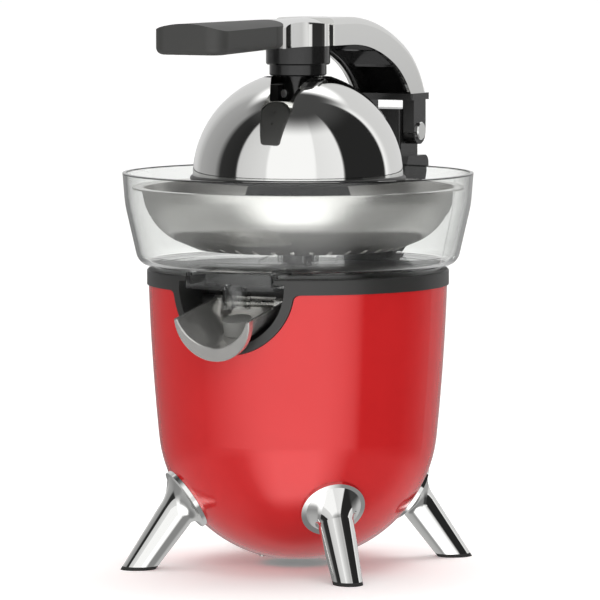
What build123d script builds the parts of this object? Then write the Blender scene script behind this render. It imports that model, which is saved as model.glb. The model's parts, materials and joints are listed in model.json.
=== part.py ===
from build123d import *
from math import acos, cos, pi, radians, sin, sqrt, tan
import os

# Electric citrus juicer with a lever press. Millimetres and degrees.
# Origin on the floor under the bowl axis, +Z up, spout towards -Y, lever hinge towards +Y.

# Body shell: round bottom, nearly straight side
bottom_in = 5.5
bottom_z = 84.6
side_lean = 5.7
body_top_z = 166.0
shell_wall = 2.5
base_hole_r = 22.0
base_screw_r = 1.5
base_flange_w = 6.0
base_flange_t = 2.4
base_screw_out = 0.5
base_screw_over = 4.0
bolt_hole_over = 2.0

# Shared clearances: seats, how far cuts and joints pass a face, and how near a picked edge lies
seat_gap = 0.1
cut_over = 1.0
clear_over = 6.0
pick_gap = 1.0
pick_fine = 0.01

# Collar and deck on top of the body
collar_r = 89.0
collar_out = 1.0
deck_z = 175.0
deck_t = 3.0
collar_wall = 3.0
collar_edge = 0.8
skirt_depth = 8.0
skirt_fit = 0.8
deck_boss_r = 9.0
deck_boss_h = 8.0
ledge_drop = 4.0
tower_pad_w = 3.0
tower_pad_in = 5.0

# Spout niche: a half round seen from the front
niche_r = 34.5
niche_z = 170.0
niche_wall = 2.5
niche_depth = 42.0
bezel_w = 5.0
bezel_proud = 1.0
bezel_blend = 3.5
notch_gap = 0.2
bezel_back_part = 0.6
niche_front_part = 0.9
chute_cut_drop = 6.0

# Spout
spout_half_w = 24.5
spout_depth = 18.3
spout_wall = 2.0
spout_reach = 17.0
spout_tip_z = 152.0
spout_back_in = 38.5
spout_slope = 10.5
spout_lip_t = 5.0
spout_lip_edge = 0.6
spout_pin_r = 2.0
spout_pin_in = 35.0
spout_pin_z = 158.0
spout_lug_r = 4.2
spout_lug_in = 15.0
spout_lug_gap = 0.6
spout_tip_up = 14.0
drip_pad_r = 8.5
drip_pad_gap = 0.5
spout_pin_short = 4.0

# Juice bowl
bowl_foot_in = 4.0
bowl_foot_h = 2.0
bowl_floor_t = 2.2
bowl_wall = 2.2
bowl_corner_out = 4.7
bowl_corner_round = 9.0
bowl_shoulder_in = 1.5
bowl_shoulder_drop = 18.5
bowl_shoulder_round = 60.0
bowl_rim_r = 103.4
bowl_rim_z = 231.5
chimney_r = 12.3
chimney_wall = 2.6
chimney_top_z = 187.0
rib_reach = 24.0
rib_t = 2.0
rib_low_h = 3.0
chute_half_w = 28.5
chute_depth = 27.0
chute_h = 9.0
chute_gap = 0.6
nozzle_in = 13.0
nozzle_r = 8.5
nozzle_bore = 6.5
nozzle_drop = 11.5
outlet_clear_h = 5.0

# Strainer
strainer_t = 1.0
strainer_flange_in = 5.9
strainer_flange_drop = 9.0
strainer_flange_w = 5.5
strainer_mid_in = 6.2
strainer_mid_z = 204.0
strainer_step_in = 12.8
strainer_step_z = 192.5
strainer_floor_in = 13.0
strainer_hole_r = 7.0
slot_count = 36
slot_len = 16.0
slot_w = 2.4
slot_cut = 6.0
slot_parts = (0.466, 0.795)

# Drive spindle, reamer and start switch
spindle_r = 5.0
spindle_square = 8.0
spindle_low_z = 141.0
spindle_step_z = 165.5
spindle_top_z = 236.0
run_gap = 0.05
press_travel = 2.5
switch_collar_r = 20.0
switch_collar_z = 166.0
switch_collar_t = 2.5
reamer_r = 40.0
reamer_z = 193.0
reamer_h = 64.0
reamer_flange_t = 3.0
reamer_hub_r = 9.0
reamer_ribs = 8
reamer_rib_t = 2.6
reamer_skin = 4.0
reamer_cone_part = 0.62
reamer_rib_part = 0.86
reamer_waist_part = 0.55
reamer_bulge_part = 0.79
reamer_room_part = 0.5
reamer_hub_gap = 1.0
seal_lip_w = 2.0
seal_lip_t = 1.0
spring_wire = 0.8
spring_r = 6.9
spring_turns = 3
plunger_r = 1.5
plunger_x = 16.5
microswitch_size = (10.0, 20.0, 6.0)
microswitch_aside = 2.0
microswitch_floor = 0.8
plunger_gap = 0.3

# Gear train: two equal steps, motor and output on one axis
module = 1.0
wheel_teeth = 48
pinion_teeth = 12
tooth_height = 0.8
tooth_depth = 1.15
tooth_play = 0.25
pressure_angle = 20.0
pinion_over = 1.0
output_wheel_z = 142.0
output_wheel_t = 8.0
output_hub_r = 10.0
idler_wheel_z = 125.0
idler_wheel_t = 6.0
idler_axle_r = 3.0
gearbox_low_z = 118.0
gearbox_split_z = 138.0
gearbox_top_z = 157.0
gearbox_wall = 2.5
gearbox_floor = 3.0
gearbox_room = 2.0
bush_wall = 3.0
clip_t = 1.2
clip_groove = 1.0
clip_play = 0.1
clip_in = 1.0
clip_slot_half = 2.0
hub_over_clip = 1.2
thrust_in = 0.5
thrust_gap = 0.3
axle_boss_w = 3.0
axle_boss_gap = 0.5
screw_boss_wall = 1.0
gearbox_screw_out = 2.5
gearbox_screw_head = 2.0

# Motor
stator_half = 31.0
stator_round = 12.0
stator_low_z = 60.0
stator_h = 36.0
rotor_r = 20.5
air_gap = 0.5
rotor_slots = 12
rotor_slot_depth = 7.0
rotor_slot_half = 1.2
motor_shaft_r = 4.0
pinion_shaft_r = 3.0
motor_low_z = 34.0
bracket_z = 36.0
bracket_t = 4.0
bracket_r = 40.0
bearing_r = 9.5
bearing_t = 5.0
bearing_lift = 1.0
bracket_boss = 2.0
shaft_room = 1.0
shaft_step = 0.5
bolt_spread = 24.0
motor_bolt_r = 1.8
motor_bolt_head = 2.5
motor_bolt_in = 11.0
post_r = 3.5
coil_depth = 8.0
coil_gap_half = 9.0
coil_in = 2.0
coil_room = 1.0
pole_gap_half = 14.0
pole_gap_depth = 4.0
fan_r = 27.0
fan_z = 105.0
fan_h = 7.0
fan_blades = 9
fan_plate_t = 1.5
fan_blade_half = 0.8
fan_hub_wall = 4.0
commutator_r = 11.0
commutator_z = 44.0
commutator_h = 8.0
brush_len = 16.0
brush_gap = 0.4
brush_half_w = 4.0
brush_half_h = 3.0
brush_foot = 6.0

# Legs
leg_reach = 98.5
leg_aim_z = 135.6
leg_foot_r = 8.5
leg_top_r = 11.0
leg_flange_r = 19.0
leg_flange_t = 2.5
leg_flare_len = 11.0
leg_flare_steps = 5
leg_flare_power = 2.5
leg_flange_rim = 0.8
leg_flange_sink = 0.7
pad_t = 2.0
leg_bolt_r = 3.0
leg_bolt_len = 12.0
leg_bolt_room = 0.5
leg_bolt_head = 4.0
leg_places = {"front_left": 225, "front_right": 315, "rear_left": 135, "rear_right": 45}

# Cord inlet
gland_z = 45.0
gland_r = 9.0
gland_bore = 3.7
gland_len = 14.0

# Rear tower and lever hinge
hinge_y = 120.0
hinge_z = 251.0
hinge_pin_r = 3.5
hinge_head_r = 5.5
hinge_head_t = 1.6
hinge_head_edge = 0.6
hinge_bush_r = 5.5
tower_half_w = 18.0
tower_drop = 15.0
tower_front = 11.0
tower_back = 16.0
tower_foot_in = 19.0
tower_foot_step = 2.0
tower_ramp = 10.0
tower_sag = 7.2
tower_shoulder = 10.0
tower_round = 5.0
tower_bowl_gap = 0.8
post_half_w = 12.0
post_back = 14.0
post_rise = 13.5
post_slope = 3.0
post_edge = 1.5
tower_screw_r = 1.9
tower_screw_x = 10.0
tower_screw_in = 4.5
tower_screw_head = 2.0
tower_head_part = 1.8

# Lever
arm_half_w = 20.0
arm_top_z = 322.3
arm_depth = 16.3
arm_bend_y = 30.0
arm_top_mid_in = 16.0
arm_top_mid_drop = 19.3
arm_low_mid_in = 36.0
arm_low_mid_drop = 12.0
arm_end_rise = 23.0
arm_end_front = 12.0
arm_end_back = 10.0
arm_wall = 2.0
arm_edge_round = 4.0
arm_start_y = 8.0
arm_room_y = 24.0
neck_half_w = 19.4
neck_waist = 6.0
neck_front_part = 0.85
boss_r = 19.0
band_t = 4.0
band_lip = 1.0
band_edge = 1.0
core_wall = 2.5
core_ribs = 4
core_rib_t = 2.0
core_lift = 1.2
core_rib_lift = 3.0
core_rib_end = 0.6
band_back_more = 1.0
ear_r = 8.0
ear_in_x = 12.4
grip_joint_y = -41.0
grip_end_r = 20.3
grip_tip_y = -136.0
grip_drop = 1.6
grip_flare = 3.2
grip_half_w = 20.0
grip_side_h = 12.0
grip_crown = 4.3
grip_round = 10.0
grip_edge = 4.0
tang_len = 46.0
tang_half_w = 9.0
tang_t = 7.0
tang_root = 2.0
grip_screw_short = 0.5
grip_screw_r = 1.8
grip_screw_parts = (0.35, 0.75)

# Hub and press dome
hub_r = 18.9
hub_step_r = 16.8
hub_h = 11.0
hub_step_h = 6.5
hub_edge = 0.8
neck_r = 9.0
neck_under = 7.5
neck_in_arm = 10.0
dome_r = 62.0
dome_z = 229.0
dome_skirt = 1.4
dome_wall = 1.3
dome_hole_r = 20.0
dome_notch_r = 41.5
dome_notch_turn = 13.0
dome_notch_half_w = 6.0
dome_notch_flare = 12.0
dome_notch_round = 2.0
dome_notch_top_part = 0.8
bead_r = 1.6
tilt_rise = 49.0
tilt_pin_r = 2.5
liner_rise = 33.5
liner_t = 3.0
liner_rim_h = 3.0
liner_wall = 3.0
liner_lug_w = 9.0
liner_lug_gap = 1.0
liner_lug_half = 6.0
neck_screw_r = 1.5
neck_screw_turn = -31.0
neck_screw_gap = 1.0
neck_head_part = 1.6
neck_head_t = 1.2

# Values worked out from the sizes above
wheel_r = module * wheel_teeth / 2
pinion_r = module * pinion_teeth / 2
gear_gap = wheel_r + pinion_r
body_top_r = collar_r - collar_out
bottom_r = body_top_r - bottom_in
niche_back_y = niche_depth - collar_r
spout_tip_y = -collar_r - spout_reach
spout_back_y = spout_back_in - collar_r
spout_pin_y = spout_pin_in - collar_r
chute_back_y = chute_depth - collar_r
nozzle_y = nozzle_in - collar_r
tower_foot_y = collar_r - tower_foot_in
shell_in_r = bottom_r - shell_wall
base_z = bottom_z - sqrt(bottom_r**2 - base_hole_r**2)
skirt_r = body_top_r - shell_wall - skirt_fit
bowl_floor_z = deck_z + bowl_foot_h
chute_low_z = bowl_floor_z - chute_h
nozzle_low_z = chute_low_z - nozzle_drop
stator_top_z = stator_low_z + stator_h
gearbox_in_r = wheel_r + tooth_height * module + gearbox_room
gearbox_out_r = gearbox_in_r + gearbox_wall
bush_r = output_hub_r + run_gap + bush_wall
clip_z = gearbox_top_z + clip_t / 2
hub_top_z = clip_z + clip_t + hub_over_clip
inner_dome_r = dome_r - dome_wall
dome_low_z = dome_z - dome_skirt
tilt_z = dome_z + tilt_rise
liner_z = dome_z + liner_rise
bowl_foot_r = collar_r - bowl_foot_in
bowl_corner_r = collar_r + bowl_corner_out
bowl_shoulder_r = bowl_rim_r - bowl_shoulder_in
bowl_shoulder_z = bowl_rim_z - bowl_shoulder_drop
strainer_flange_r = bowl_rim_r - strainer_flange_in
strainer_flange_z = bowl_rim_z - strainer_flange_drop
strainer_wall_r = strainer_flange_r - strainer_flange_w
strainer_mid_r = strainer_wall_r - strainer_mid_in
strainer_step_r = strainer_mid_r - strainer_step_in
strainer_floor_r = strainer_step_r - strainer_floor_in
tower_top_z = hinge_z - tower_drop
tower_front_y = hinge_y - tower_front
tower_back_y = hinge_y + tower_back
post_back_y = hinge_y + post_back
post_top_z = hinge_z + post_rise
arm_low_z = arm_top_z - arm_depth
arm_end_z = hinge_z + arm_end_rise
arm_end_front_y = hinge_y - arm_end_front
arm_end_back_y = hinge_y + arm_end_back
arm_top_mid = (hinge_y - arm_top_mid_in, arm_top_z - arm_top_mid_drop)
arm_low_mid = (hinge_y - arm_low_mid_in, arm_low_z - arm_low_mid_drop)
hub_step_z = arm_low_z - hub_h
hub_low_z = hub_step_z - hub_step_h
neck_low_z = tilt_z - neck_under
neck_top_z = arm_low_z + neck_in_arm
ledge_z = body_top_z - ledge_drop
leg_axis = Vector(-leg_reach, 0, leg_aim_z).normalized()
foot_to_centre = Vector(leg_reach, 0, -bottom_z)
leg_mid = -foot_to_centre.dot(leg_axis)
leg_root = leg_mid - sqrt(leg_mid**2 - foot_to_centre.length**2 + bottom_r**2)
leg_seat = Vector(leg_reach, 0, 0) + leg_axis * leg_root
leg_normal = (leg_seat - Vector(0, 0, bottom_z)).normalized()

up_from_base = (Align.CENTER, Align.CENTER, Align.MIN)


# Small helpers
def disc(radius, low, high, x=0, y=0):
    return Pos(x, y, low) * Cylinder(radius, high - low, align=up_from_base)


def ring(outer, inner, low, high, x=0, y=0):
    return disc(outer, low, high, x, y) - disc(inner, low - cut_over, high + cut_over, x, y)


def rod_x(radius, x0, x1, y, z):
    return Pos(x0, y, z) * Rot(0, 90, 0) * Cylinder(radius, x1 - x0, align=up_from_base)


def block(x0, x1, y0, y1, z0, z1):
    return Pos((x0 + x1) / 2, (y0 + y1) / 2, (z0 + z1) / 2) * Box(x1 - x0, y1 - y0, z1 - z0)


def turned(*outline):
    return revolve(Plane.XZ * make_face(outline), Axis.Z)


def side_cut(x0, x1, *outline):
    face = Pos(x0, 0, 0) * (Plane.YZ * make_face(outline))
    return extrude(face, x1 - x0, dir=(1, 0, 0))


def ball(radius):
    return Pos(0, 0, bottom_z) * Rot(0, 0, 180) * Sphere(radius)


def turn_about(solid, y, z, angle):
    return Pos(0, y, z) * Rot(-angle, 0, 0) * Pos(0, -y, -z) * solid


def group(solids):
    return Compound(children=[Solid(s.solid().wrapped) for s in solids])


# Body
def body_sides(inset, low_r):
    radius = bottom_r - inset
    lean = radians(side_lean)
    low = (low_r, bottom_z - sqrt(radius**2 - low_r**2))
    start = (radius * cos(lean), bottom_z - radius * sin(lean))
    mid = (radius * cos(pi / 4), bottom_z - radius * sin(pi / 4))
    top = (body_top_r - inset, body_top_z)
    return [ThreePointArc(low, mid, start), TangentArc(start, top, tangent=(sin(lean), cos(lean)))]


def body_fill(inset):
    sides = body_sides(inset, 0)
    top = sides[1] @ 1
    return turned(*sides, Polyline(top, (0, top.Y), sides[0] @ 0))


def niche_block(radius, y0, y1, top):
    arc = ThreePointArc((-radius, niche_z), (0, niche_z - radius), (radius, niche_z))
    rest = Polyline((radius, niche_z), (radius, top), (-radius, top), (-radius, niche_z))
    return Pos(0, y1, 0) * extrude(Plane.XZ * make_face([arc, rest]), y1 - y0)


def bezel_block(gap, y0, y1, top):
    low_z = body_top_z - bezel_blend
    radius = niche_r + bezel_w + gap
    blend = bezel_blend - gap
    reach = radius + blend
    side = sqrt(reach**2 - (niche_z - low_z) ** 2)
    touch = Vector(side, low_z - niche_z) * (radius / reach) + Vector(0, niche_z)
    halfway = (Vector(0, 1) + Vector(-side, niche_z - low_z) / reach).normalized()
    middle = Vector(side, low_z) + halfway * blend
    left = Vector(-touch.X, touch.Y)
    high = Vector(side, low_z + blend)
    under = ThreePointArc(left, (0, niche_z - radius), touch)
    right_blend = ThreePointArc(touch, middle, high)
    left_blend = ThreePointArc((-side, high.Y), (-middle.X, middle.Y), left)
    rest = Polyline(high, (side, top), (-side, top), (-side, high.Y))
    return Pos(0, y1, 0) * extrude(Plane.XZ * make_face([under, right_blend, rest, left_blend]), y1 - y0)


def leg_line(radius):
    spot = leg_normal * radius + Vector(0, 0, bottom_z)
    return Plane(origin=spot, z_dir=leg_normal)


def around_legs(solid):
    return [Rot(0, 0, turn) * solid for turn in leg_places.values()]


def body_shell():
    outer = body_sides(0, base_hole_r)
    inner = body_sides(shell_wall, base_hole_r)
    shell = turned(*outer, Line(outer[1] @ 1, inner[1] @ 1), *inner, Line(inner[0] @ 0, outer[0] @ 0))
    shell -= bezel_block(notch_gap, -collar_r - clear_over, -collar_r / 2, body_top_z + cut_over)
    drill = Cylinder(leg_bolt_r + seat_gap, shell_wall + 2 * bolt_hole_over, align=up_from_base)
    hole = leg_line(shell_in_r - bolt_hole_over) * drill
    for cut in around_legs(hole):
        shell -= cut
    shell -= gland_core(gland_r + seat_gap)
    for screw in base_screw_set(seat_gap):
        shell -= screw
    return shell


def top_collar():
    solid = disc(collar_r, body_top_z, deck_z)
    solid = chamfer(solid.edges().group_by(Axis.Z)[-1], collar_edge)
    solid -= disc(skirt_r - collar_wall, body_top_z - cut_over, deck_z + cut_over)
    solid += ring(skirt_r, skirt_r - collar_wall, body_top_z - skirt_depth, body_top_z + cut_over)
    solid += disc(collar_r - cut_over, deck_z - deck_t, deck_z)
    solid += disc(deck_boss_r, deck_z - deck_t, deck_z + deck_boss_h)
    surround = bezel_block(0, -collar_r - clear_over, -collar_r * bezel_back_part, deck_z - collar_edge)
    surround &= body_fill(-bezel_proud) + disc(collar_r, body_top_z - cut_over, deck_z)
    solid += surround - body_fill(shell_wall + seat_gap)
    niche_front_y = -collar_r * niche_front_part
    solid += niche_block(niche_r + niche_wall, niche_front_y, niche_back_y + niche_wall, deck_z - deck_t)
    solid -= niche_block(niche_r, -collar_r - clear_over, niche_back_y, deck_z - deck_t)
    chute_room = chute_half_w + chute_gap
    solid -= block(-chute_room, chute_room, -collar_r - clear_over, chute_back_y + chute_gap,
                   niche_z - chute_cut_drop, deck_z + cut_over)
    solid += spout_bosses()
    solid -= rod_x(spout_pin_r + seat_gap / 2, -collar_r, collar_r, spout_pin_y, spout_pin_z)
    room = tower_half_w + seat_gap
    pad = room + tower_pad_w
    solid += block(-pad, pad, tower_foot_y - tower_pad_in, skirt_r - collar_wall + cut_over,
                   ledge_z, deck_z - cut_over)
    solid -= block(-room, room, tower_foot_y - seat_gap, collar_r + clear_over, body_top_z, deck_z + cut_over)
    for x in (-tower_screw_x, tower_screw_x):
        solid -= disc(tower_screw_r + seat_gap, ledge_z - cut_over, deck_z, x, tower_screw_y())
    solid -= disc(spindle_r + bush_wall + seat_gap, deck_z - deck_t - cut_over,
                  deck_z + deck_boss_h + cut_over)
    return solid


def spout_bosses():
    boss = rod_x(spout_lug_r, spout_half_w + spout_lug_gap, niche_r, spout_pin_y, spout_pin_z)
    boss += mirror(boss, Plane.YZ)
    return boss


def base_screw_set(gap):
    radius = base_hole_r + base_flange_w / 2
    low = bottom_z - sqrt(bottom_r**2 - radius**2) - base_screw_out
    screw = disc(base_screw_r + gap, low, low + shell_wall + base_screw_over, radius)
    return [Rot(0, 0, 120 * k) * screw for k in range(3)]


def base_cover():
    flange_r = base_hole_r + base_flange_w
    flange_z = bottom_z - sqrt(shell_in_r**2 - flange_r**2) + seat_gap
    cover = disc(base_hole_r - seat_gap, base_z, flange_z + base_flange_t)
    cover += disc(flange_r, flange_z, flange_z + base_flange_t)
    for screw in base_screw_set(seat_gap):
        cover -= screw
    return cover


def leg_cone():
    length = leg_root - leg_flare_len
    start = -leg_foot_r * 2
    slope = (leg_top_r - leg_foot_r) / leg_root
    cone = Cone(leg_foot_r + slope * start, leg_foot_r + slope * length, length - start, align=up_from_base)
    return Plane(origin=(leg_reach, 0, 0), z_dir=leg_axis) * Pos(0, 0, start) * cone


def leg_trumpet():
    rim_r = leg_flange_r - leg_flange_rim
    rim_h = sqrt((bottom_r + leg_flange_t) ** 2 - rim_r**2) - leg_flange_sink
    reach = leg_root - leg_flare_len
    neck_radius = leg_foot_r + (leg_top_r - leg_foot_r) * reach / leg_root
    start = Vector(leg_reach, 0, 0) + leg_axis * reach
    end = Vector(0, 0, bottom_z) + leg_normal * rim_h
    sections = []
    for k in range(leg_flare_steps + 1):
        part = k / leg_flare_steps
        facing = leg_axis * (1 - part) - leg_normal * part
        place = Plane(origin=start + (end - start) * part, x_dir=(0, 1, 0), z_dir=facing)
        sections.append(place * Circle(neck_radius + (rim_r - neck_radius) * part**leg_flare_power))
    return loft(sections)


def foot_block(low, high):
    half = leg_flange_r * 3
    return block(leg_reach - half, leg_reach + half, -half, half, low, high)


def leg():
    cone = leg_cone() - foot_block(-bottom_z, pad_t)
    flange = leg_line(bottom_r - leg_flange_r) * Cylinder(leg_flange_r, 2 * leg_flange_r, align=up_from_base)
    flange &= ball(bottom_r + leg_flange_t)
    solid = cone + leg_trumpet() + flange
    solid -= ball(bottom_r + seat_gap)
    depth = cut_over + leg_bolt_len + leg_bolt_room
    hole = leg_line(bottom_r - cut_over) * Cylinder(leg_bolt_r + seat_gap, depth, align=up_from_base)
    return solid - hole


def foot_pads():
    pad = leg_cone() & foot_block(0, pad_t)
    return group(around_legs(pad))


def leg_bolts():
    start = shell_in_r - leg_bolt_head
    length = leg_bolt_head + shell_wall + leg_bolt_len
    bolt = leg_line(start) * Cylinder(leg_bolt_r, length, align=up_from_base)
    bolt += leg_line(start) * Cylinder(leg_bolt_r * 2, leg_bolt_head - leg_bolt_r / 4, align=up_from_base)
    return group(around_legs(bolt))


def base_screws():
    return group(base_screw_set(0))


def gland_core(radius):
    reach = sqrt(bottom_r**2 - (bottom_z - gland_z) ** 2)
    start = Pos(0, reach - gland_len / 2, gland_z) * Rot(-90, 0, 0)
    return start * Cylinder(radius, gland_len, align=up_from_base)


def cord_gland():
    return gland_core(gland_r) - gland_core(gland_bore)


# Bowl and strainer
def bowl_line():
    corner = (bowl_corner_r, bowl_floor_z)
    shoulder = (bowl_shoulder_r, bowl_shoulder_z)
    rounds = [bowl_corner_round, bowl_shoulder_round]
    return FilletPolyline((0, bowl_floor_z), corner, shoulder, (bowl_rim_r, bowl_rim_z), radius=rounds)


def bowl_envelope(gap):
    rest = Polyline((bowl_rim_r, bowl_rim_z), (0, bowl_rim_z), (0, bowl_floor_z))
    grown = offset(turned(*bowl_line().edges(), rest), gap)
    return grown + disc(bowl_foot_r + gap, deck_z - gap, bowl_floor_z + cut_over)


def juice_bowl():
    wall = bowl_line().offset_2d(bowl_wall, side=Side.LEFT)
    solid = revolve(Plane.XZ * make_face(wall.edges()), Axis.Z)
    solid += ring(bowl_foot_r, bowl_foot_r - bowl_wall, deck_z, bowl_floor_z + cut_over)
    solid += disc(chimney_r, bowl_floor_z, chimney_top_z)
    rib_in = chimney_r - chimney_wall / 2
    rib_low = bowl_floor_z + bowl_floor_t / 2
    rib_line = Polyline((rib_in, rib_low), (rib_reach, rib_low), (rib_reach, bowl_floor_z + rib_low_h),
                        (rib_in, chimney_top_z - cut_over), close=True)
    rib = side_cut(-rib_t / 2, rib_t / 2, rib_line)
    for k in range(4):
        solid += Rot(0, 0, 45 + 90 * k) * rib
    box = block(-chute_half_w, chute_half_w, -collar_r, chute_back_y, chute_low_z, bowl_floor_z + cut_over)
    box &= disc(collar_r - seat_gap, chute_low_z, bowl_floor_z + 2 * cut_over)
    clear_z = bowl_floor_z + bowl_floor_t + outlet_clear_h
    room = block(bowl_wall - chute_half_w, chute_half_w - bowl_wall, -collar_r, chute_back_y - bowl_wall,
                 chute_low_z + bowl_wall, clear_z)
    room &= disc(collar_r - seat_gap - bowl_wall, chute_low_z, clear_z + cut_over)
    solid += box
    solid += disc(nozzle_r, nozzle_low_z, chute_low_z + cut_over, 0, nozzle_y)
    solid -= room
    solid -= disc(nozzle_bore, nozzle_low_z - cut_over, chute_low_z + bowl_wall + cut_over, 0, nozzle_y)
    solid -= disc(chimney_r - chimney_wall, deck_z - cut_over, chimney_top_z + cut_over)
    return solid


def strainer():
    low = chimney_top_z
    line = Polyline((strainer_hole_r, low), (strainer_floor_r, low), (strainer_step_r, strainer_step_z))
    wall = ThreePointArc((strainer_step_r, strainer_step_z), (strainer_mid_r, strainer_mid_z),
                         (strainer_wall_r, strainer_flange_z))
    flange = Line((strainer_wall_r, strainer_flange_z), (strainer_flange_r, strainer_flange_z))
    path = Wire(line.edges() + [wall, flange])
    sheet = path.offset_2d(strainer_t, side=Side.LEFT)
    solid = revolve(Plane.XZ * make_face(sheet.edges()), Axis.Z)
    for k, part in enumerate(slot_parts):
        hole = extrude(SlotOverall(slot_len, slot_w), slot_cut, both=True)
        slot = Pos(strainer_step_r * part, 0, low) * hole
        cuts = [Rot(0, 0, 360 / slot_count * (n + k / 2)) * slot for n in range(slot_count)]
        solid -= cuts
    return solid


# Spout
def spout_plane(distance):
    slope = radians(spout_slope)
    along = Vector(0, -cos(slope), -sin(slope))
    tip = Vector(0, spout_tip_y, spout_tip_z)
    return Plane(origin=tip - along * distance, x_dir=(1, 0, 0), z_dir=along)


def spout_face(half_w, depth):
    arc = ThreePointArc((-half_w, 0), (0, -depth), (half_w, 0))
    return make_face([arc, Line((half_w, 0), (-half_w, 0))])


def spout_trough():
    length = (spout_tip_y - spout_back_y) / -cos(radians(spout_slope))
    outer = extrude(spout_plane(length) * spout_face(spout_half_w, spout_depth), length)
    lip = extrude(spout_plane(spout_lip_t) * spout_face(spout_half_w, spout_half_w), spout_lip_t)
    room = spout_face(spout_half_w - spout_wall, spout_depth - spout_wall)
    inner = extrude(spout_plane(length - spout_wall) * room, length)
    solid = outer + lip - inner
    front = spout_plane(0)
    rim = [e for e in solid.edges()
           if max(abs(front.to_local_coords(e @ t).Z) for t in (0, 0.5, 1)) < pick_fine]
    solid = chamfer(rim, spout_lip_edge)
    lug = rod_x(spout_lug_r, spout_lug_in, spout_half_w, spout_pin_y, spout_pin_z)
    solid += lug
    solid += mirror(lug, Plane.YZ)
    solid -= rod_x(spout_pin_r + run_gap, -collar_r, collar_r, spout_pin_y, spout_pin_z)
    return solid


def drip_pad():
    closed = disc(drip_pad_r, nozzle_low_z - spout_depth / 2, nozzle_low_z - drip_pad_gap, 0, nozzle_y)
    pad = turn_about(closed, spout_pin_y, spout_pin_z, -spout_tip_up)
    length = (spout_tip_y - spout_back_y) / -cos(radians(spout_slope))
    room = spout_face(spout_half_w - spout_wall, spout_depth - spout_wall)
    above = Pos(0, spout_depth / 2) * Rectangle(2 * spout_half_w, spout_depth)
    tall = extrude(spout_plane(length) * (room + above), length)
    return (pad & tall).solid()


def spout_pin():
    return rod_x(spout_pin_r, spout_pin_short - niche_r, niche_r - spout_pin_short, spout_pin_y, spout_pin_z)


# Gears
def involute(angle):
    return tan(angle) - angle


def gear(teeth, low, high, turn=0):
    pitch_r = module * teeth / 2
    press = radians(pressure_angle)
    base_r = pitch_r * cos(press)
    half = pi / (2 * teeth) - tooth_play / (2 * pitch_r) + involute(press)

    def flank(radius):
        return half - involute(acos(min(1, base_r / radius)))

    root = pitch_r - tooth_depth * module
    tip = pitch_r + tooth_height * module
    radii = (root, pitch_r, tip)
    points = []
    for k in range(teeth):
        centre = 2 * pi * k / teeth + radians(turn)
        for r in radii:
            points.append((r * cos(centre - flank(r)), r * sin(centre - flank(r))))
        for r in reversed(radii):
            points.append((r * cos(centre + flank(r)), r * sin(centre + flank(r))))
    return Pos(0, 0, low) * extrude(make_face(Polyline(*points, close=True)), high - low)


def output_gear():
    solid = gear(wheel_teeth, output_wheel_z, output_wheel_z + output_wheel_t)
    solid += disc(output_hub_r, output_wheel_z, hub_top_z)
    solid += disc(bush_r - thrust_in, output_wheel_z + output_wheel_t,
                  gearbox_top_z - gearbox_floor - thrust_gap)
    solid -= ring(bush_r + clear_over, output_hub_r - clip_groove, clip_z, clip_z + clip_t)
    side = spindle_square + 2 * run_gap
    return solid - block(-side / 2, side / 2, -side / 2, side / 2,
                         output_wheel_z - cut_over, hub_top_z + cut_over)


def output_clip():
    inner = output_hub_r - clip_groove + clip_play
    solid = ring(bush_r - clip_in, inner, clip_z + clip_play, clip_z + clip_t - clip_play)
    return solid - block(-clip_slot_half, clip_slot_half, 0, bush_r, clip_z, clip_z + clip_t)


def idler_gear():
    solid = gear(wheel_teeth, idler_wheel_z, idler_wheel_z + idler_wheel_t)
    top = output_wheel_z + output_wheel_t + pinion_over
    solid += gear(pinion_teeth, idler_wheel_z + idler_wheel_t, top, 180 / pinion_teeth)
    solid -= disc(idler_axle_r + run_gap, idler_wheel_z - cut_over, top + cut_over)
    return Pos(0, gear_gap, 0) * solid


def gearbox_fill(radius, low, high):
    ends = disc(radius, low, high) + disc(radius, low, high, 0, gear_gap)
    return ends + block(-radius, radius, 0, gear_gap, low, high)


def gearbox_screw_spots():
    reach = gearbox_out_r + gearbox_screw_out
    return [(-reach, 0), (reach, 0), (-reach, gear_gap), (reach, gear_gap)]


def gearbox_lower():
    solid = gearbox_fill(gearbox_out_r, gearbox_low_z, gearbox_split_z)
    for x, y in gearbox_screw_spots():
        solid += disc(post_r + screw_boss_wall, gearbox_low_z, gearbox_split_z, x, y)
    solid += disc(bolt_spread * sqrt(2) + post_r + gearbox_wall, gearbox_low_z, gearbox_low_z + gearbox_floor)
    for x, y in bolt_spots():
        solid += disc(post_r, stator_top_z, gearbox_low_z + cut_over, x, y)
    solid += disc(bearing_r + gearbox_wall, gearbox_low_z - bearing_t + bearing_lift,
                  gearbox_low_z + cut_over)
    solid -= gearbox_fill(gearbox_in_r, gearbox_low_z + gearbox_floor, gearbox_split_z + cut_over)
    solid += disc(idler_axle_r + axle_boss_w, gearbox_low_z, idler_wheel_z - axle_boss_gap, 0, gear_gap)
    solid -= disc(bearing_r, gearbox_low_z - bearing_t, gearbox_low_z + cut_over)
    solid -= disc(motor_shaft_r + shaft_room, gearbox_low_z - cut_over,
                  gearbox_low_z + gearbox_floor + cut_over)
    solid -= disc(idler_axle_r, gearbox_low_z + cut_over, gearbox_split_z, 0, gear_gap)
    for x, y in gearbox_screw_spots():
        solid -= disc(motor_bolt_r + seat_gap, gearbox_low_z - cut_over, gearbox_split_z + cut_over, x, y)
    for x, y in bolt_spots():
        solid -= disc(motor_bolt_r + seat_gap, stator_top_z - cut_over,
                      stator_top_z + motor_bolt_in + cut_over, x, y)
    return solid


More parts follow.
